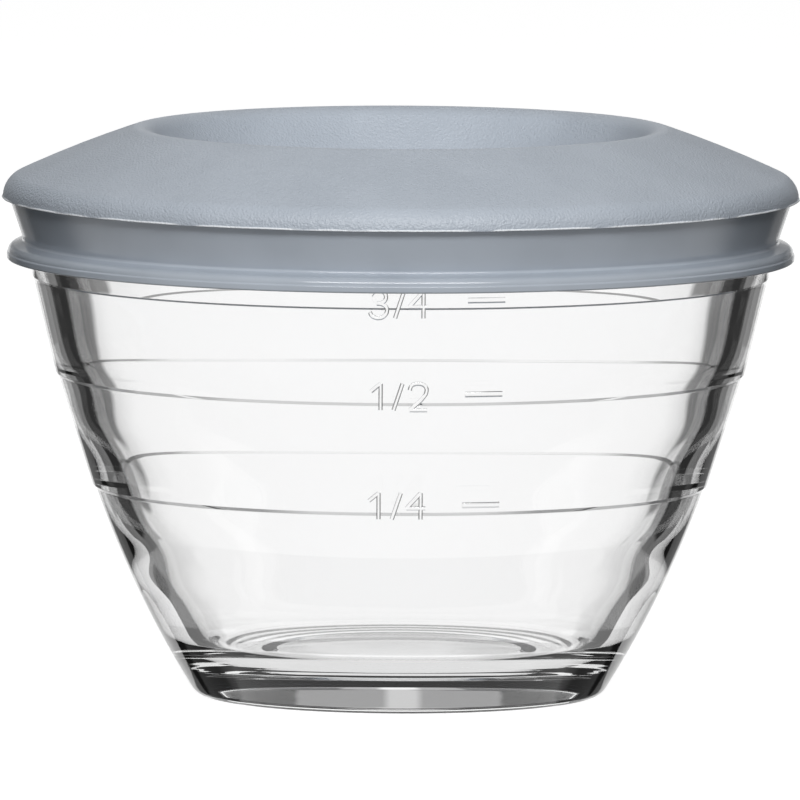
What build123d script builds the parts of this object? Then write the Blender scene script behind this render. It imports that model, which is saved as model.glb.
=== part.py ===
from build123d import *
import os
from math import radians, tan

# A pressed-glass prep bowl with stepped sides, and the one-piece plastic lid that presses over its rim.
# Millimetres, +Z up, with the origin on the table below the bowl's centre. Both pieces are round about Z.

# Bowl, outside: the rim band is plain, and each ledge below it starts a narrower tier
bowl_height = 65.0
rim_radius = 46.0
three_quarter_height = 52.55
half_height = 40.5
half_inset = 2.95
quarter_height = 26.45
quarter_inset = 7.6
ledge_step = 0.30
ledge_drop = 0.26
ledge_edge_round = 0.12
ledge_cove = 0.3
lower_wall_radius = 126.0

# Bowl, foot: a flat ring round a shallow recess
foot_radius = 25.3
foot_round = 2.0
foot_ring_width = 7.8
recess_depth = 1.0
recess_slope_width = 2.0

# Bowl, inside: a tapered band that the lid's lip seals on, then one smooth curve down to a flat floor
rim_wall = 2.5
rim_round = 0.9
rim_draft = 5.7
seal_band_depth = 5.0
floor_thickness = 4.75
floor_radius = 23.9
floor_round = 6.0

# Lid, fit on the bowl: the skirt's waist grips the rim band, and the lip goes down inside the rim
fit_gap = 0.15
waist_wall = 0.95
lip_wall = 1.2
lip_depth = 4.0
lip_round = 0.35
land_margin = 0.5

# Lid, skirt and flange: depths are below the bowl's rim
parting_depth = 3.0
skirt_lean = 1.8
skirt_wall = 1.1
edge_overhang = 0.8
edge_undercut = 0.3
edge_wall = 1.5
edge_round = 2.9
flange_depth = 8.1
flange_reach = 2.1
flange_fall = 0.8
flange_thickness = 1.5
flange_round = 0.7
flange_foot_round = 0.25
waist_cove = 0.7
lead_in = 1.0

# Lid, top: a dish that takes the foot of the next bowl in a stack, a round ridge and a sloping shoulder
lid_wall = 1.5
stack_gap = 1.3
dish_depth = 6.94
dish_run = 5.1
dish_round = 4.0
ridge_height = 6.64
ridge_round = 2.8
shoulder_height = 0.59
shoulder_radius = 140.0

# Sizes that follow from those above
half_radius = rim_radius - half_inset
quarter_radius = rim_radius - quarter_inset
floor_height = recess_depth + floor_thickness
rim_inner_radius = rim_radius - rim_wall
seal_inner_radius = rim_inner_radius - seal_band_depth * tan(radians(rim_draft))

waist_radius = rim_radius + fit_gap
waist_outer_radius = waist_radius + waist_wall
skirt_radius = waist_outer_radius + skirt_lean
edge_radius = skirt_radius + edge_overhang
flange_radius = waist_outer_radius + flange_reach
lip_radius = rim_inner_radius - fit_gap
lip_tip_radius = lip_radius - lip_depth * tan(radians(rim_draft))
lip_inner_radius = lip_radius - lip_wall
dish_radius = foot_radius + stack_gap
ridge_radius = dish_radius + dish_run

parting_height = bowl_height - parting_depth
flange_top = bowl_height - flange_depth
flange_bottom = flange_top - flange_fall - flange_thickness
lip_bottom = bowl_height - lip_depth
ridge_top = bowl_height + ridge_height
dish_floor = ridge_top - dish_depth
shoulder_edge = bowl_height - shoulder_height


def round_corners(section, radius, *corners):
    """Rounds the corners of a section that lie at these points."""
    for corner in corners:
        fillet(section.vertices().sort_by_distance(corner)[0], radius)


# Bowl: its section runs out along the foot, up the stepped side, over the rim and down the inside
quarter_ledge = (quarter_radius, quarter_height)
half_ledge = (half_radius, half_height)
three_quarter_ledge = (rim_radius, three_quarter_height)
quarter_cove, half_cove, three_quarter_cove = [
    (radius - ledge_step, height - ledge_drop)
    for radius, height in (quarter_ledge, half_ledge, three_quarter_ledge)
]
foot_corner = (foot_radius, 0)
floor_corner = (floor_radius, floor_height)
rim_outer_corner = (rim_radius, bowl_height)
rim_inner_corner = (rim_inner_radius, bowl_height)
recess_radius = foot_radius - foot_ring_width

with BuildPart() as bowl:
    with BuildSketch(Plane.XZ) as bowl_section:
        with BuildLine():
            underside = Polyline(
                (0, recess_depth),
                (recess_radius - recess_slope_width, recess_depth),
                (recess_radius, 0),
                foot_corner,
            )
            lower_tier = RadiusArc(underside @ 1, quarter_cove, -lower_wall_radius)
            upper_side = Polyline(
                lower_tier @ 1,
                quarter_ledge,
                half_cove,
                half_ledge,
                three_quarter_cove,
                three_quarter_ledge,
                rim_outer_corner,
                rim_inner_corner,
                (seal_inner_radius, bowl_height - seal_band_depth),
            )
            inner_wall = TangentArc(upper_side @ 1, floor_corner, tangent=upper_side % 1)
            Polyline(inner_wall @ 1, (0, floor_height), underside @ 0)
        make_face()
        round_corners(bowl_section, ledge_edge_round, quarter_ledge, half_ledge, three_quarter_ledge)
        round_corners(bowl_section, ledge_cove, quarter_cove, half_cove, three_quarter_cove)
        round_corners(bowl_section, rim_round, rim_outer_corner, rim_inner_corner)
        round_corners(bowl_section, foot_round, foot_corner)
        round_corners(bowl_section, floor_round, floor_corner)
    revolve(axis=Axis.Z)

# Lid: the outside is turned first, then the hollow under the dish and the groove that takes the rim
with BuildPart() as lid:
    with BuildSketch(Plane.XZ) as lid_section:
        with BuildLine():
            top = Polyline((0, dish_floor), (dish_radius, dish_floor), (ridge_radius, ridge_top))
            shoulder = RadiusArc(top @ 1, (edge_radius, shoulder_edge), shoulder_radius)
            Polyline(
                shoulder @ 1,
                (edge_radius, parting_height + edge_undercut),
                (skirt_radius, parting_height),
                (waist_outer_radius, flange_top),
                (flange_radius, flange_top - flange_fall),
                (flange_radius, flange_bottom),
                (0, flange_bottom),
                top @ 0,
            )
        make_face()
        round_corners(lid_section, dish_round, (dish_radius, dish_floor))
        round_corners(lid_section, ridge_round, (ridge_radius, ridge_top))
        round_corners(lid_section, edge_round, (edge_radius, shoulder_edge))
        round_corners(lid_section, waist_cove, (waist_outer_radius, flange_top))
        round_corners(lid_section, flange_round, (flange_radius, flange_top - flange_fall))
        round_corners(lid_section, flange_foot_round, (flange_radius, flange_bottom))
    revolve(axis=Axis.Z)

    # The underside of the dish and shoulder follows the top, one wall lower, as far out as the lip
    with BuildSketch(Plane.XZ) as hollow_section:
        with BuildLine():
            ceiling = Polyline(
                (0, dish_floor - lid_wall),
                (dish_radius, dish_floor - lid_wall),
                (ridge_radius, ridge_top - lid_wall),
            )
            slope = RadiusArc(ceiling @ 1, (edge_radius, shoulder_edge - lid_wall), shoulder_radius)
            Polyline(slope @ 1, (edge_radius, flange_bottom), (0, flange_bottom), ceiling @ 0)
        make_face()
        round_corners(hollow_section, dish_round, (dish_radius, dish_floor - lid_wall))
        round_corners(hollow_section, ridge_round, (ridge_radius, ridge_top - lid_wall))
        with Locations((0, flange_bottom)):
            Rectangle(
                lip_inner_radius,
                ridge_top - flange_bottom,
                align=(Align.MIN, Align.MIN),
                mode=Mode.INTERSECT,
            )
    revolve(axis=Axis.Z, mode=Mode.SUBTRACT)

    # The groove: lip, flat land on the rim, corner under the shoulder, leaning skirt, waist and lead-in
    with BuildSketch(Plane.XZ) as groove_section:
        with BuildLine():
            Polyline(
                (lip_inner_radius, flange_bottom),
                (lip_inner_radius, lip_bottom),
                (lip_tip_radius, lip_bottom),
                (lip_radius, bowl_height),
                (rim_radius + land_margin, bowl_height),
                (edge_radius - edge_wall, (bowl_height + parting_height) / 2),
                (skirt_radius - skirt_wall, parting_height),
                (waist_radius, flange_top + waist_cove),
                (waist_radius, flange_bottom + lead_in),
                (waist_radius + lead_in, flange_bottom),
                close=True,
            )
        make_face()
        round_corners(groove_section, lip_round, (lip_tip_radius, lip_bottom))
    revolve(axis=Axis.Z, mode=Mode.SUBTRACT)

os.makedirs("parts", exist_ok=True)
bowl.part.label = "bowl"
export_step(bowl.part, "parts/bowl.step")
lid.part.label = "lid"
export_step(lid.part, "parts/lid.step")
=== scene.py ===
# %% [markdown]
# # A pressed-glass prep bowl with a press-on lid
# The real object is two pieces: a thick clear glass bowl with small ledges round it and raised cup
# measures on the front, and a one-piece soft plastic lid. Both are round about the Z axis, so nearly
# everything here is one section drawn point by point and spun into a solid of revolution.
# The first cell loads the measured CAD model. It never moves: it gives the places and sizes. Blender's
# unit is the metre, while the sizes of the two pieces are written in millimetres, and MM turns one into
# the other.

# %% Load the frame
import math
import bpy
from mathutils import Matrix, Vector


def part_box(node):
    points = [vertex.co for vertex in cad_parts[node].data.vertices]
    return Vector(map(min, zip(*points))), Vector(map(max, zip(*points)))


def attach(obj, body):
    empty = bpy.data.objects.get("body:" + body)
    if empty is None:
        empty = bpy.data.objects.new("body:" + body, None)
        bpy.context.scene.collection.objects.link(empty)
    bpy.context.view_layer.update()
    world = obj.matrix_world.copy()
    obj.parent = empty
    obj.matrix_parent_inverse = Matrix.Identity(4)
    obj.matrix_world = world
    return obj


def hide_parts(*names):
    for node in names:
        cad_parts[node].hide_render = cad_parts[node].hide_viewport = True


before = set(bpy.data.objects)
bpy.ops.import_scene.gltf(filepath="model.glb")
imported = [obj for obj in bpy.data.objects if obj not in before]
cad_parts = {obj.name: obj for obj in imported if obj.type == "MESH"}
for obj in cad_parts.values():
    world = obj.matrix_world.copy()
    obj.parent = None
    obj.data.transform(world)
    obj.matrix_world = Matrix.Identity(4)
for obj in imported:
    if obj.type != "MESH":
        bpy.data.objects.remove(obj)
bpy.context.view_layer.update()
scene = bpy.context.scene
scene.view_settings.view_transform = "Standard"

MM = 0.001
rim_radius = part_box("bowl")[1][0] / MM
bowl_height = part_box("bowl")[1][2] / MM
edge_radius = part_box("lid")[1][0] / MM
flange_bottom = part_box("lid")[0][2] / MM
print("bowl", rim_radius, bowl_height, "lid", edge_radius, flange_bottom)

# %% [markdown]
# ## The camera
# The photograph looks almost level at the bowl, about five degrees down. The lid's ellipse is hardly
# flatter than the foot's, so the camera stood far back with a long lens, and it does here too. Angles are
# in degrees, the distance is in metres and the lens in millimetres of focal length.

# %% Camera
camera_rise = 5.3
camera_distance = 3.7
camera_lens = 1332.0
camera_roll = 0.25
look_height = 36.9
look_at = Vector((0, 0, look_height * MM))

rise = math.radians(camera_rise)
camera_data = bpy.data.cameras.new("camera")
camera_data.lens = camera_lens
camera_data.clip_end = 100
camera = bpy.data.objects.new("camera", camera_data)
scene.collection.objects.link(camera)
camera.location = look_at + camera_distance * Vector((0, -math.cos(rise), math.sin(rise)))
camera.rotation_euler = (math.pi / 2 - rise, 0, 0)
camera.rotation_euler.rotate_axis("Z", math.radians(camera_roll))
scene.camera = camera
bpy.context.view_layer.update()
print("camera at", [round(c, 3) for c in camera.location])

# %% [markdown]
# ## Small tools
# A colour picked on a screen is sRGB, while shaders count light, so one function turns hex into linear
# numbers. Another adds a shader node with its settings and links in one line, which keeps the materials
# readable.

# %% Colours and nodes
def linear(hex_colour):
    """Turns an sRGB hex value into linear red, green, blue and alpha."""
    parts = [int(hex_colour[i:i + 2], 16) / 255 for i in (0, 2, 4)]
    return [p / 12.92 if p <= 0.04045 else ((p + 0.055) / 1.055) ** 2.4 for p in parts] + [1.0]


def add(tree, kind, settings=None, links=None):
    """Adds a node. Settings are its properties or inputs; links join an input to another node's output."""
    node = tree.nodes.new(kind)
    for key, value in (settings or {}).items():
        if isinstance(key, str) and hasattr(node, key):
            setattr(node, key, value)
        else:
            node.inputs[key].default_value = value
    for key, (source, output) in (links or {}).items():
        tree.links.new(source.outputs[output], node.inputs[key])
    return node


def new_material(name):
    """A named material with an empty node tree and an output node."""
    material = bpy.data.materials.new(name)
    material.use_nodes = True
    material.node_tree.nodes.clear()
    return material, material.node_tree, material.node_tree.nodes.new("ShaderNodeOutputMaterial")


def start_fresh():
    """Leaves edit mode and deselects everything, because an operator acts on all that is selected."""
    if bpy.context.object and bpy.context.object.mode != "OBJECT":
        bpy.ops.object.mode_set(mode="OBJECT")
    bpy.ops.object.select_all(action="DESELECT")


print("grey 80 is", round(linear("808080")[0], 3), "in linear light")

# %% [markdown]
# ## The studio
# Clear glass has no look of its own: it shows what stands around it. The photograph looks as if the bowl
# stood on a white table in front of a bright white backdrop, in a darker room. Light passes straight
# through the middle of the bowl, while the thick sides bend the view far enough round to find the dark
# and so draw their own outline. The world is the white that the camera sees behind the bowl. To the matte
# lid it gives only a faint light.

# %% World
ambient_glow, backdrop_glow = 0.05, 1.0
world = bpy.data.worlds.new("white_studio")
scene.world = world
world.use_nodes = True
sky = world.node_tree
sky.nodes.clear()
rays = add(sky, "ShaderNodeLightPath")
seen = add(sky, "ShaderNodeMath", {"operation": "MAXIMUM"},
           {0: (rays, "Is Camera Ray"), 1: (rays, "Is Glossy Ray")})
shown = add(sky, "ShaderNodeMath", {"operation": "MAXIMUM"}, {0: (seen, 0), 1: (rays, "Is Transmission Ray")})
ambient = add(sky, "ShaderNodeBackground", {"Color": linear("FFFFFF"), "Strength": ambient_glow})
backdrop = add(sky, "ShaderNodeBackground", {"Color": linear("FFFFFF"), "Strength": backdrop_glow})
either = add(sky, "ShaderNodeMixShader", None, {0: (shown, 0), 1: (ambient, 0), 2: (backdrop, 0)})
add(sky, "ShaderNodeOutputWorld", None, {"Surface": (either, 0)})
print("world: white to the camera, to reflections and through glass")

# %% [markdown]
# ## The tent
# A big tent round everything is the room as the glass sees it: a white backdrop, grey and black cards
# beside it, a dim ceiling edge, and white again on the camera's side. It goes with the camera, as a
# photographer's flags do, and only reflections and glass see it. A sphere of 20 metres radius does for its
# cloth, with the glow of each point kept as an attribute.
# Each row is a belt of heights in degrees: its top, how far to the side its middle and its cards reach,
# and how brightly its middle, its cards and the rest of it glow. Round to the front the cloth fades to
# white between two angles, and sooner near the table. The real room isn't known: these belts were tried
# until the bands and lines in the glass came close to the photograph's.

# %% Tent
tent_size, tent_segments, tent_rings = 20.0, 240, 120
front_fade, low_front_fade = (80, 105), (52, 66)
low_front_top = -8
tent_belts = [
    (-40, 180, 180, 1.0, 1.0, 1.0),
    (-24, 16, 26, 1.0, 0.22, 0.18),
    (-15, 17, 26, 1.0, 0.24, 0.03),
    (2, 12.8, 26, 1.0, 0.24, 0.03),
    (8, 3, 20, 0.60, 0.33, 0.08),
    (11.3, 2, 8, 0.60, 0.25, 0.10),
    (30, 4, 12, 1.0, 0.45, 0.15),
    (91, 26, 26, 0.65, 0.65, 0.65),
]


def glow_at(side, height):
    """How brightly the tent glows this many degrees to the side and up."""
    belt = next(belt for belt in tent_belts if height < belt[0])
    middle, cards, middle_glow, card_glow, rest_glow = belt[1:]
    glow = middle_glow if side < middle else card_glow if side < cards else rest_glow
    start, end = low_front_fade if height < low_front_top else front_fade
    front = min(1, max(0, (side - start) / (end - start)))
    return glow + (1 - glow) * front


start_fresh()
bpy.ops.mesh.primitive_uv_sphere_add(segments=tent_segments, ring_count=tent_rings, radius=tent_size)
tent = bpy.context.object
tent.name = "tent"
glow = tent.data.attributes.new("glow", "FLOAT", "POINT")
for point in tent.data.vertices:
    way = point.co.normalized()
    side = abs(math.degrees(math.atan2(way.x, way.y)))
    glow.data[point.index].value = glow_at(side, math.degrees(math.asin(way.z)))
material, tree, out = new_material("tent_cloth")
reading = add(tree, "ShaderNodeAttribute", {"attribute_name": "glow"})
light = add(tree, "ShaderNodeEmission", {"Color": linear("FFFFFF")}, {"Strength": (reading, "Fac")})
tree.links.new(light.outputs[0], out.inputs["Surface"])
tent.data.materials.append(material)
tent.visible_camera = False
tent.visible_shadow = False
tent.visible_diffuse = False
tent.location = look_at
tent.parent = camera
tent.matrix_parent_inverse = camera.matrix_world.inverted()
print("tent:", len(tent.data.polygons), "faces in", len(tent_belts), "belts")

# %% [markdown]
# ## The table
# The table is a pale disc. Most of its white is its own glow, and the rest is light that it scatters, so
# that the bowl's shadow still shows as a faint grey where the lamps can't reach. Only the camera looks at
# the table. The glass looks at two smaller discs just under it instead, because the table's lit edge
# would draw a second horizon into every thick part: a white mat that reaches from under the foot to well
# behind it, and below that a dimmer disc, for the shade under the front of the foot.

# %% Table
disc_points = 96
table_radius, table_glow, table_grey = 2600.0, 0.93, "A0A0A0"
mat_radius, mat_back, mat_depth, mat_glow = 49.5, 40.0, 0.2, 0.95
shade_radius, shade_depth, shade_glow = 25.2, 0.3, 0.75


def glowing_disc(name, radius, place, glow, colour=None):
    """A flat disc that glows, and also scatters light if it is given a colour. Sizes are in millimetres."""
    start_fresh()
    bpy.ops.mesh.primitive_circle_add(vertices=disc_points, radius=radius * MM, fill_type="NGON",
                                      location=Vector(place) * MM)
    disc = bpy.context.object
    disc.name = name
    material, tree, out = new_material(name + "_top")
    surface = add(tree, "ShaderNodeEmission", {"Color": linear("FFFFFF"), "Strength": glow})
    if colour:
        matte = add(tree, "ShaderNodeBsdfDiffuse", {"Color": linear(colour)})
        surface = add(tree, "ShaderNodeAddShader", None, {0: (matte, 0), 1: (surface, 0)})
    tree.links.new(surface.outputs[0], out.inputs["Surface"])
    disc.data.materials.append(material)
    disc.visible_diffuse = False
    return disc


table = glowing_disc("white_table", table_radius, (0, 0, 0), table_glow, table_grey)
table.visible_transmission = False
table.visible_glossy = False
mat = glowing_disc("white_mat", mat_radius, (0, mat_back, -mat_depth), mat_glow)
shade = glowing_disc("shade_under_foot", shade_radius, (0, 0, -shade_depth), shade_glow)
for disc in (mat, shade):
    disc.visible_camera = False
    disc.visible_shadow = False
print("radius of table, mat and shade:", table_radius, mat_radius, shade_radius, "mm")

# %% [markdown]
# ## The lamps
# Three soft lamps do the lighting; their places and sizes are in metres. The main one is a big softbox in
# front, well above the camera's line of sight: it lights the lid's shoulder and the middle of the skirt,
# leaves the skirt's ends dark, and its reflection draws the bright lines on the lid's edges. A weak one
# low in front lifts the shade under the lid's edge, and a weak one above lifts the top. Those two have no
# reflection of their own.

# %% Lamps
lamp_aim = (0, 0, 0.06)


def softbox(name, place, width, height, watts):
    """A rectangular soft lamp that shines from a place towards the lid. It isn't seen through glass."""
    data = bpy.data.lights.new(name, "AREA")
    data.shape = "RECTANGLE"
    data.size = width
    data.size_y = height
    data.energy = watts
    lamp = bpy.data.objects.new(name, data)
    scene.collection.objects.link(lamp)
    lamp.location = place
    lamp.rotation_euler = (Vector(lamp_aim) - Vector(place)).to_track_quat("-Z", "Y").to_euler()
    lamp.visible_transmission = False
    return lamp


front = softbox("softbox_front", (0, -0.983, 0.748), width=1.07, height=0.32, watts=11.0)
low = softbox("softbox_low", (0, -1.2, 0.18), width=1.2, height=0.3, watts=3.2)
above = softbox("softbox_above", (0, 0, 1.16), width=0.9, height=0.7, watts=3.0)
for lamp in (low, above):
    lamp.visible_glossy = False
print("lamps:", [(lamp.name, lamp.data.energy) for lamp in (front, low, above)])

# %% [markdown]
# ## Drawing a section and turning it
# A potter's or a mould maker's drawing of a round thing is half of its section. The helper below draws it
# with Blender's own tools: a plane is merged to one point, the point is extruded from corner to corner,
# each corner that has a radius is bevelled as a vertex, and the finished line is spun round Z. Spinning
# leaves doubled points at the seam and on the axis, so they are merged, and the faces are turned outwards
# afterwards.
# The last helper smooths the shading. Weighted normals let the big flat faces keep their own direction
# and leave the turning to the small faces of a rounding, which matters on glass: a bent normal would bend
# the light too.

# %% Section tools
spin_steps = 256
round_steps, round_step_angle = 4, 8
merge_distance = 0.002


def arc(start, end, radius, count):
    """Points between two corners on an arc; a positive radius bulges to the left of the way."""
    a, b = Vector(start[:2]), Vector(end[:2])
    chord = b - a
    left = Vector((-chord.y, chord.x)).normalized()
    drop = math.sqrt(radius ** 2 - (chord.length / 2) ** 2)
    centre = (a + b) / 2 - left * math.copysign(drop, radius)
    first, last = a - centre, b - centre
    turn = first.angle_signed(last)
    points = []
    for i in range(1, count):
        part = -turn * i / count
        points.append((centre.x + first.x * math.cos(part) - first.y * math.sin(part),
                       centre.y + first.x * math.sin(part) + first.y * math.cos(part), 0))
    return points


def turned(name, section):
    """Draws a section of (radius, height, rounding) points in millimetres and spins it about Z."""
    start_fresh()
    bpy.ops.mesh.primitive_plane_add(size=MM)
    piece = bpy.context.object
    piece.name = name
    corners = [Vector((r, 0, z)) * MM for r, z, rounding in section]
    roundings = [rounding for r, z, rounding in section]
    bpy.ops.object.mode_set(mode="EDIT")
    bpy.ops.mesh.merge(type="CENTER")
    bpy.ops.transform.translate(value=corners[0])
    for here, there in zip(corners, corners[1:]):
        bpy.ops.mesh.extrude_region_move(TRANSFORM_OT_translate={"value": there - here})
    for before, corner, after, rounding in zip(corners, corners[1:], corners[2:], roundings[1:]):
        if rounding:
            bend = (corner - before).angle(after - corner)
            bpy.ops.mesh.select_all(action="DESELECT")
            bpy.ops.object.mode_set(mode="OBJECT")
            nearest = min(piece.data.vertices, key=lambda point: (point.co - corner).length)
            nearest.select = True
            bpy.ops.object.mode_set(mode="EDIT")
            segments = max(round_steps, round(math.degrees(bend) / round_step_angle))
            bpy.ops.mesh.bevel(offset=rounding * MM * math.tan(bend / 2), offset_type="OFFSET",
                               segments=segments, affect="VERTICES")
    bpy.ops.mesh.select_all(action="SELECT")
    bpy.ops.mesh.spin(steps=spin_steps, angle=2 * math.pi, center=(0, 0, 0), axis=(0, 0, 1))
    bpy.ops.mesh.select_all(action="SELECT")
    bpy.ops.mesh.remove_doubles(threshold=merge_distance * MM)
    bpy.ops.mesh.normals_make_consistent(inside=False)
    bpy.ops.object.mode_set(mode="OBJECT")
    print(name, len(piece.data.vertices), "points", len(piece.data.polygons), "faces",
          [round(d / MM, 2) for d in piece.dimensions])
    return piece


def smooth(piece, angle):
    """Smooth shading up to an angle in degrees, with the big faces deciding the normals."""
    start_fresh()
    piece.select_set(True)
    bpy.context.view_layer.objects.active = piece
    bpy.ops.object.shade_smooth_by_angle(angle=math.radians(angle))
    weighted = piece.modifiers.new("weighted_normals", "WEIGHTED_NORMAL")
    weighted.keep_sharp = True
    bpy.ops.object.modifier_apply(modifier=weighted.name)


print("the middle of a quarter circle:", [round(c, 3) for c in arc((1, 0), (0, 1), -1, 2)[0][:2]])

# %% [markdown]
# ## The bowl
# Pressed glass is thick, and its thickness is what shows: the outside steps in at three small ledges, the
# inside is one smooth curve, and the base is a heavy lens over a shallow recess. Outside and inside are
# drawn as one closed section, because glass with an inner skin missing would bend light as a solid lump.
# Each ledge is a form of its own: how far it steps in, how far it drops, and the radius of its cove and
# its edge. The line that it draws in the glass depends on that slope, so the slopes were chosen by their
# lines. The inner skin has slow waves of less than a tenth of a millimetre, each given as a height and a
# swell. They are far too small to see as shape, but a thick wall magnifies them, and they give the dark
# bands their swing. The foot has shallow rings, such as a turned mould leaves, a few hundredths of a
# millimetre high.

# %% Bowl sizes
three_quarter_height, half_height, quarter_height = 52.55, 40.5, 26.45
half_inset, quarter_inset = 2.95, 7.6
half_radius, quarter_radius = rim_radius - half_inset, rim_radius - quarter_inset
three_quarter_ledge = (0.12, 0.24, 0.15, 0.06)
half_ledge = (0.34, 0.40, 0.30, 0.10)
quarter_ledge = (0.46, 0.455, 0.35, 0.12)
lower_wall_radius, lower_wall_points = 126.0, 16
foot_radius, foot_round, foot_edge = 25.3, 2.0, 1.6
recess_radius, recess_slope, recess_depth = 17.5, 2.0, 1.0
ring_height, ring_pitch, ring_points = 0.05, 2.1, 6
rim_wall, rim_round = 2.5, 0.9
seal_depth, seal_taper = 5.0, 0.499
inner_wall_radius, inner_wall_points = 121.45, 96
floor_height, floor_radius, floor_round, floor_blend = 5.75, 23.9, 6.0, 3.5
skin_waves = [(60, 0), (55, 0), (49.5, -0.07), (42.5, 0.06), (38, -0.05), (34.5, 0.01), (28.5, -0.09),
              (22.5, 0.04), (18, -0.08), (14, 0), (0, 0)]
rim_inside = rim_radius - rim_wall
foot_flat = foot_radius - foot_edge
print("tiers start at radius", rim_radius, half_radius, quarter_radius)

# %% Bowl outline
def ledge(radius, height, form):
    """The two corners of a ledge, from the cove below it to its edge."""
    step, drop, cove, edge_round = form
    return [(radius - step, height - drop, cove), (radius, height, edge_round)]


def waved(points):
    """Moves points of the inner wall in or out by the skin's slow waves."""
    moved = []
    stretches = list(zip(skin_waves, skin_waves[1:]))
    for r, z, rounding in points:
        (top, at_top), (low, at_low) = next(pair for pair in stretches if z >= pair[1][0])
        share = (1 - math.cos(math.pi * (z - low) / (top - low))) / 2
        moved.append((r + at_low + (at_top - at_low) * share, z, rounding))
    return moved


def ringed(start, end, height):
    """Points along a flat from one radius to another, with shallow rings standing up from it."""
    count = round(abs(end - start) / ring_pitch) * ring_points
    points = []
    for i in range(1, count):
        r = start + (end - start) * i / count
        points.append((r, height + ring_height * (1 - math.cos(2 * math.pi * i / ring_points)) / 2, 0))
    return points


def rows(start, end, count=6):
    """Points on a straight tier, so that its faces are short where the raised signs are joined to them."""
    low, high = Vector(start[:2]), Vector(end[:2])
    return [(*low.lerp(high, i / count), 0) for i in range(1, count)]


low_ledge = ledge(quarter_radius, quarter_height, quarter_ledge)
mid_ledge = ledge(half_radius, half_height, half_ledge)
top_ledge = ledge(rim_radius, three_quarter_height, three_quarter_ledge)
seal_end = (rim_inside - seal_taper, bowl_height - seal_depth, 0)
floor_corner = (floor_radius, floor_height, floor_round)
inner_wall = waved(arc(seal_end, floor_corner, inner_wall_radius, inner_wall_points))
print("inner wall from", seal_end[:2], "to", floor_corner[:2])

# %% Bowl
bowl_section = [
    (0, recess_depth, 0),
    (recess_radius - recess_slope, recess_depth, 0),
    (recess_radius, 0, 0),
    *ringed(recess_radius, foot_flat, 0),
    (foot_flat, 0, 0),
    (foot_radius, 0, foot_round),
    *arc((foot_radius, 0), low_ledge[0], -lower_wall_radius, lower_wall_points),
    *low_ledge,
    *rows(low_ledge[1], mid_ledge[0]),
    *mid_ledge,
    *rows(mid_ledge[1], top_ledge[0]),
    *top_ledge,
    *rows(top_ledge[1], (rim_radius, bowl_height)),
    (rim_radius, bowl_height, rim_round),
    (rim_inside, bowl_height, rim_round),
    seal_end,
    *[point for point in inner_wall if point[1] > floor_height + floor_blend],
    floor_corner,
    (0, floor_height, 0),
]
bowl = turned("glass_bowl", bowl_section)

# %% [markdown]
# ## The cup measures
# The numbers and their level marks are engraved in the mould with a round-nosed cutter that follows the
# middle line of each stroke, so on the glass every stroke is a low round bead. Each number straddles its
# ledge. Strokes are drawn in millimetres from the lower left corner of their sign. A bead starts as a
# flat curve with a round bevel and becomes a mesh. Its outer half is pressed flatter and its inner half
# drawn deeper, so that it reaches the wall below the ledge too, and then every point is laid on the wall,
# as far out as the tier above the ledge says. Unions join the beads to each other and to the bowl, so
# that light meets one skin of glass.

# %% Strokes
strokes = {
    "1": [[(0, 2.35), (1.2, 3.35)], [(1.2, 3.35), (1.2, 0)]],
    "2": [[(0.05, 2.55), (0.2, 3.0), (0.65, 3.3), (1.2, 3.35), (1.75, 3.2), (2.1, 2.8), (2.1, 2.3),
           (1.8, 1.7), (0.05, 0)],
          [(0.05, 0), (2.2, 0)]],
    "3": [[(0.1, 2.8), (0.5, 3.25), (1.05, 3.35), (1.65, 3.2), (1.95, 2.75), (1.85, 2.2), (1.45, 1.9),
           (0.85, 1.8)],
          [(0.85, 1.8), (1.5, 1.7), (2.0, 1.35), (2.1, 0.9), (1.85, 0.35), (1.3, 0.02), (0.75, 0.02),
           (0.2, 0.3), (0, 0.7)]],
    "4": [[(1.75, 3.35), (0, 1.4)], [(0, 1.4), (2.35, 1.4)], [(1.75, 3.35), (1.75, 0)]],
    "/": [[(0, 0), (1.1, 3.35)]],
    "-": [[(-0.3, 0), (1, 0), (2.3, 0), (3.6, 0), (4.3, 0)]],
}


def tier(radius, height, above_radius, above_height, above_form):
    """A tier's lower edge and how much wider it gets per millimetre up to the cove of the ledge above."""
    return radius, height, (above_radius - above_form[0] - radius) / (above_height - above_form[1] - height)


# Each measure: its tier, and the signs on it with the place of each one's lower left corner.
measures = [
    ((rim_radius, three_quarter_height, 0.0),
     [("3", -3.75, 51.3), ("/", -0.65, 51.3), ("4", 1.1, 51.3), ("-", 8.65, 53.45)]),
    (tier(half_radius, half_height, rim_radius, three_quarter_height, three_quarter_ledge),
     [("1", -3.6, 39.6), ("/", -0.8, 39.6), ("2", 1.15, 39.6), ("-", 8.35, 41.55)]),
    (tier(quarter_radius, quarter_height, half_radius, half_height, half_ledge),
     [("1", -3.8, 25.6), ("/", -0.95, 25.6), ("4", 0.85, 25.6), ("-", 8.05, 27.35)]),
]
print(len(measures), "measures with", sum(len(signs) for wall, signs in measures), "signs")

# %% Beads
bead_radius, mark_radius = 0.26, 0.36
bead_flatness, bead_root = 0.75, 3.0
bead_merge = 0.001


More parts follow.
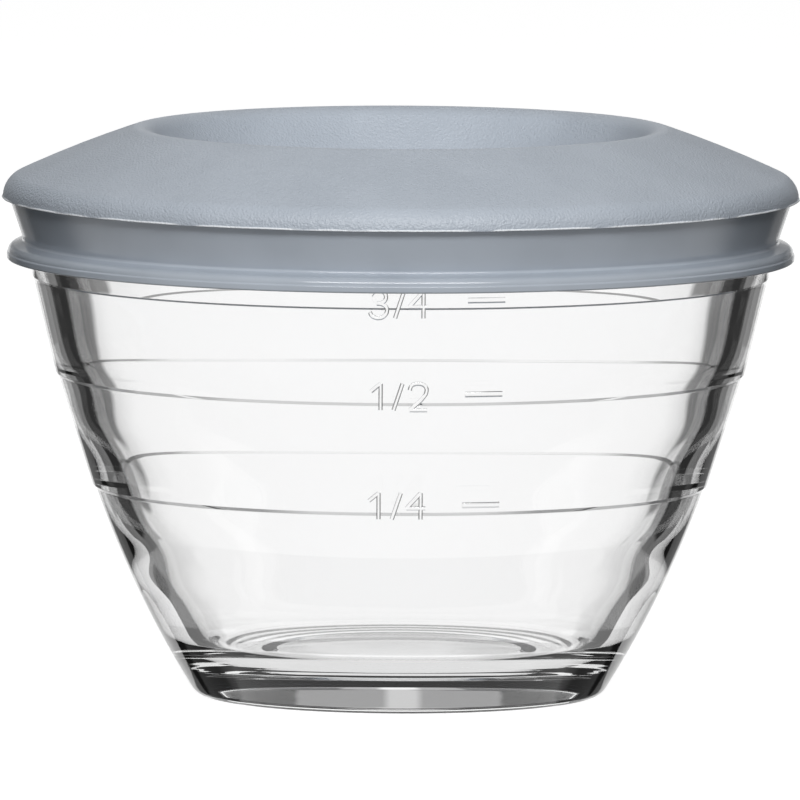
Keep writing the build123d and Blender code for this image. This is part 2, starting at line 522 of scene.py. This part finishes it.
def bead(points, radius, corner, wall):
    """One stroke as a round-backed solid on the wall."""
    start_fresh()
    curve = bpy.data.curves.new("bead", "CURVE")
    curve.dimensions = "3D"
    curve.bevel_depth = radius
    curve.bevel_resolution = 8
    curve.use_fill_caps = True
    curve.resolution_u = 5
    line = curve.splines.new("BEZIER")
    line.bezier_points.add(len(points) - 1)
    for knot, (x, y) in zip(line.bezier_points, points):
        knot.co = (x, y, 0)
        knot.handle_left_type = knot.handle_right_type = "AUTO"
    piece = bpy.data.objects.new("bead", curve)
    scene.collection.objects.link(piece)
    piece.select_set(True)
    bpy.context.view_layer.objects.active = piece
    bpy.ops.object.convert(target="MESH")
    piece = bpy.context.object
    bpy.ops.object.mode_set(mode="EDIT")
    bpy.ops.mesh.select_all(action="SELECT")
    bpy.ops.mesh.remove_doubles(threshold=bead_merge)
    bpy.ops.mesh.normals_make_consistent(inside=False)
    bpy.ops.object.mode_set(mode="OBJECT")
    wall_radius, wall_height, lean = wall
    for point in piece.data.vertices:
        across, up = point.co.x + corner[0], point.co.y + corner[1]
        out = point.co.z * (bead_flatness if point.co.z > 0 else bead_root)
        around = wall_radius + (up - wall_height) * lean + out
        point.co = Vector((across, -math.sqrt(around ** 2 - across ** 2), up)) * MM
    return piece


def united(body, other):
    """Joins another solid to a body and takes it away."""
    start_fresh()
    body.select_set(True)
    bpy.context.view_layer.objects.active = body
    union = body.modifiers.new("union", "BOOLEAN")
    union.operation = "UNION"
    union.solver = "EXACT"
    union.object = other
    bpy.ops.object.modifier_apply(modifier=union.name)
    bpy.data.objects.remove(other)
    return body


print("beads", bead_radius * bead_flatness, "mm high, level marks", mark_radius * bead_flatness, "mm high")

# %% Measures on the bowl
glass_crease = 20
for wall, signs in measures:
    for sign, across, up in signs:
        radius = mark_radius if sign == "-" else bead_radius
        beads = [bead(points, radius, (across, up), wall) for points in strokes[sign]]
        relief = beads[0]
        for other in beads[1:]:
            relief = united(relief, other)
        bowl = united(bowl, relief)
    print("measure with", len(signs), "signs:", len(bowl.data.vertices), "points")
smooth(bowl, glass_crease)
print("glass bowl with its measures:", len(bowl.data.vertices), "points", len(bowl.data.polygons), "faces")
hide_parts("bowl")
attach(bowl, "bowl")

# %% [markdown]
# ## The glass
# Soda-lime glass is nearly colourless and bends light with an index of about 1.52. Pressing and
# fire-polishing leave a skin that is perfectly glossy but not perfectly even: a very shallow ripple about
# a centimetre long, which makes the dark bands waver. The ripple is a noise bump of a few thousandths of
# a millimetre.

# %% Glass material
ripple_size, ripple_height = 12.0, 0.003
material, tree, out = new_material("pressed_soda_lime_glass")
place = add(tree, "ShaderNodeTexCoord")
ripple = add(tree, "ShaderNodeTexNoise", {"Scale": 1 / (ripple_size * MM), "Detail": 0.0},
             {"Vector": (place, "Object")})
skin = add(tree, "ShaderNodeBump", {"Strength": 1.0, "Distance": ripple_height * MM}, {"Height": (ripple, 0)})
glass = add(tree, "ShaderNodeBsdfPrincipled",
            {"Base Color": linear("FFFFFF"), "Roughness": 0.0, "IOR": 1.52, "Transmission Weight": 1.0},
            {"Normal": (skin, 0)})
tree.links.new(glass.outputs[0], out.inputs["Surface"])
bowl.data.materials.clear()
bowl.data.materials.append(material)
print(material.name, "on", bowl.name)

# %% [markdown]
# ## The lid
# The lid is one moulding of soft polyethylene: a dish on top that takes the next bowl's foot, a sloping
# shoulder, a skirt that leans in to a waist and grips the rim, and a flange to lift it by. Inside, a lip
# goes down into the bowl. The two halves of the mould meet at the widest edge, and a little plastic
# creeps out between them there: the thin fin stands out by up to two tenths of a millimetre and catches
# the light all the way round. The flange's edge has two soft bends, so it catches the lamp twice. Like
# the bowl, the lid is one spun section, which keeps its groove, lip and skirt true to each other.

# %% Lid sizes
dish_radius, dish_floor, dish_round = 26.6, 64.7, 4.0
ridge_radius, ridge_top, ridge_round = 31.7, 71.64, 2.8
shoulder_edge, shoulder_radius, shoulder_points = 64.41, 140.0, 6
edge_round, edge_wall, lid_wall = 2.9, 1.5, 1.5
fin_reach, fin_height, fin_slope, fin_thickness = 0.18, 62.45, 0.12, 0.1
under_fin_inset, under_fin_drop, skirt_drop = 0.05, 0.15, 0.22
skirt_inset, skirt_wall, parting_height = 0.8, 1.1, 62.0
waist_gap, waist_reach, waist_cove, waist_rise, lead_in = 0.15, 1.1, 0.35, 0.7, 1.0
flange_reach, flange_top, flange_fall = 3.2, 56.9, 0.6
upper_bend_inset, upper_bend_round = 0.2, 0.9
lower_bend_inset, lower_bend_top, lower_bend_edge, lower_bend_round = 0.14, 55.55, 55.38, 0.2
flange_foot_round = 0.25
land_margin = 0.5
lip_radius, lip_tip, lip_inner, lip_bottom, lip_round = 43.35, 42.95, 42.15, 61.0, 0.35
ceiling_points, ceiling_gap = 24, 0.1
skirt_radius = edge_radius - skirt_inset
waist_radius, waist_outer = rim_radius + waist_gap, rim_radius + waist_reach
flange_radius = rim_radius + flange_reach
print("skirt", skirt_radius, "waist", waist_outer, "flange", flange_radius)

# %% Lid
ridge = (ridge_radius, ridge_top, ridge_round)
edge = (edge_radius, shoulder_edge, edge_round)
under_ridge = (ridge_radius, ridge_top - lid_wall, ridge_round)
under_edge = (edge_radius, shoulder_edge - lid_wall, 0)
ceiling = arc(under_edge, under_ridge, -shoulder_radius, ceiling_points)
ceiling = [point for point in ceiling if point[0] < lip_inner]
lid_section = [
    (0, dish_floor, 0),
    (dish_radius, dish_floor, dish_round),
    ridge,
    *arc(ridge, edge, shoulder_radius, shoulder_points),
    edge,
    (edge_radius, fin_height + fin_slope, 0),
    (edge_radius + fin_reach, fin_height, 0),
    (edge_radius + fin_reach, fin_height - fin_thickness, 0),
    (edge_radius - under_fin_inset, fin_height - under_fin_drop, 0),
    (skirt_radius, fin_height - skirt_drop, 0),
    (waist_outer, flange_top, waist_cove),
    (flange_radius - upper_bend_inset, flange_top - flange_fall, upper_bend_round),
    (flange_radius - lower_bend_inset, lower_bend_top, 0),
    (flange_radius, lower_bend_edge, lower_bend_round),
    (flange_radius, flange_bottom, flange_foot_round),
    (waist_radius + lead_in, flange_bottom, 0),
    (waist_radius, flange_bottom + lead_in, 0),
    (waist_radius, flange_top + waist_rise, 0),
    (skirt_radius - skirt_wall, parting_height, 0),
    (edge_radius - edge_wall, (bowl_height + parting_height) / 2, 0),
    (rim_radius + land_margin, bowl_height, 0),
    (lip_radius, bowl_height, 0),
    (lip_tip, lip_bottom, lip_round),
    (lip_inner, lip_bottom, 0),
    (lip_inner, ceiling[0][1] - ceiling_gap, 0),
    *ceiling,
    under_ridge,
    (dish_radius, dish_floor - lid_wall, dish_round),
    (0, dish_floor - lid_wall, 0),
]
lid = turned("plastic_lid", lid_section)

# %% [markdown]
# A fin is never even. Two sets of waves that don't repeat together, 17 and 41 round the edge, draw it
# back towards the lid by a share between none and all of its reach, and let it droop a little where it is
# short.

# %% Fin
fin_waves = [(17, 0), (41, 1)]
fin_droop = 0.05
plastic_crease = 25
for point in lid.data.vertices:
    if math.hypot(point.co.x, point.co.y) > (edge_radius + fin_reach / 2) * MM:
        angle = math.atan2(point.co.y, point.co.x)
        waves = sum(math.sin(count * angle + shift) for count, shift in fin_waves)
        swing = (1 + waves / len(fin_waves)) / 2
        back = 1 - fin_reach * swing / edge_radius
        point.co = Vector((point.co.x * back, point.co.y * back, point.co.z - fin_droop * swing * MM))
smooth(lid, plastic_crease)
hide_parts("lid")
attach(lid, "lid")
print("fin swings by up to", fin_reach, "mm")

# %% [markdown]
# ## The lid's plastic
# Low-density polyethylene, dyed blue-grey with faint clouds in the dye. The mould is spark-eroded above
# the parting line, which prints a fine matte grain on the top, and polished below it, so the skirt and
# flange are smoother and show soft reflections. Height along Z decides which finish a point has. From the
# lid's widest radius outwards the fin is painted a lighter colour: painted light, for the light that
# shines through the thin plastic and for a painted highlight along its edge.
# A real grain of this kind is finer than the picture can show, so it is drawn coarser and deeper than it
# is.

# %% Lid plastic
grain_size, grain_height, cloud_size = 0.30, 0.13, 9.0
cloud_range = (0.35, 0.65)
cloud_colours = ("A9B1BB", "AEB6C0")
# The fin's light colour is painted light: light through the thin plastic and a painted highlight on its edge.
painted_fin_light_colour, fin_start, fin_full = "E4E8EC", 0.01, 0.05
grain_start, grain_full = 62.1, 62.4
polished_roughness, grained_roughness = 0.15, 0.40

material, tree, out = new_material("dyed_polyethylene")
place = add(tree, "ShaderNodeTexCoord")
parts = add(tree, "ShaderNodeSeparateXYZ", None, {0: (place, "Object")})
top = add(tree, "ShaderNodeMapRange", {"From Min": grain_start * MM, "From Max": grain_full * MM},
          {"Value": (parts, "Z")})
grain = add(tree, "ShaderNodeTexNoise", {"Scale": 1 / (grain_size * MM), "Detail": 1.0},
            {"Vector": (place, "Object")})
clouds = add(tree, "ShaderNodeTexNoise", {"Scale": 1 / (cloud_size * MM), "Detail": 2.0},
             {"Vector": (place, "Object")})
colour = add(tree, "ShaderNodeValToRGB", None, {0: (clouds, 0)})
for stop, position, shade_of_dye in zip(colour.color_ramp.elements, cloud_range, cloud_colours):
    stop.position = position
    stop.color = linear(shade_of_dye)
flat = add(tree, "ShaderNodeVectorMath", {"operation": "MULTIPLY", 1: (1, 1, 0)}, {0: (place, "Object")})
reach = add(tree, "ShaderNodeVectorMath", {"operation": "LENGTH"}, {0: (flat, 0)})
# Painted light: past the lid's widest radius the dyed colour blends to the fin's painted light colour.
thin = add(tree, "ShaderNodeMapRange",
           {"From Min": (edge_radius + fin_start) * MM, "From Max": (edge_radius + fin_full) * MM},
           {"Value": (reach, "Value")})
painted_fin_light = add(tree, "ShaderNodeMix", {"data_type": "RGBA", 7: linear(painted_fin_light_colour)},
            {0: (thin, 0), 6: (colour, 0)})
finish = add(tree, "ShaderNodeMapRange", {"To Min": polished_roughness, "To Max": grained_roughness},
             {"Value": (top, 0)})
depth = add(tree, "ShaderNodeMath", {"operation": "MULTIPLY"}, {0: (grain, 0), 1: (top, 0)})
relief = add(tree, "ShaderNodeBump", {"Strength": 1.0, "Distance": grain_height * MM}, {"Height": (depth, 0)})
plastic = add(tree, "ShaderNodeBsdfPrincipled", {"IOR": 1.51},
              {"Base Color": (painted_fin_light, 2), "Roughness": (finish, 0), "Normal": (relief, 0)})
tree.links.new(plastic.outputs[0], out.inputs["Surface"])
lid.data.materials.append(material)
print(material.name, "on", lid.name)

# %% [markdown]
# ## Last step
# The last cell leaves edit mode and deselects everything.

# %% Last step
start_fresh()
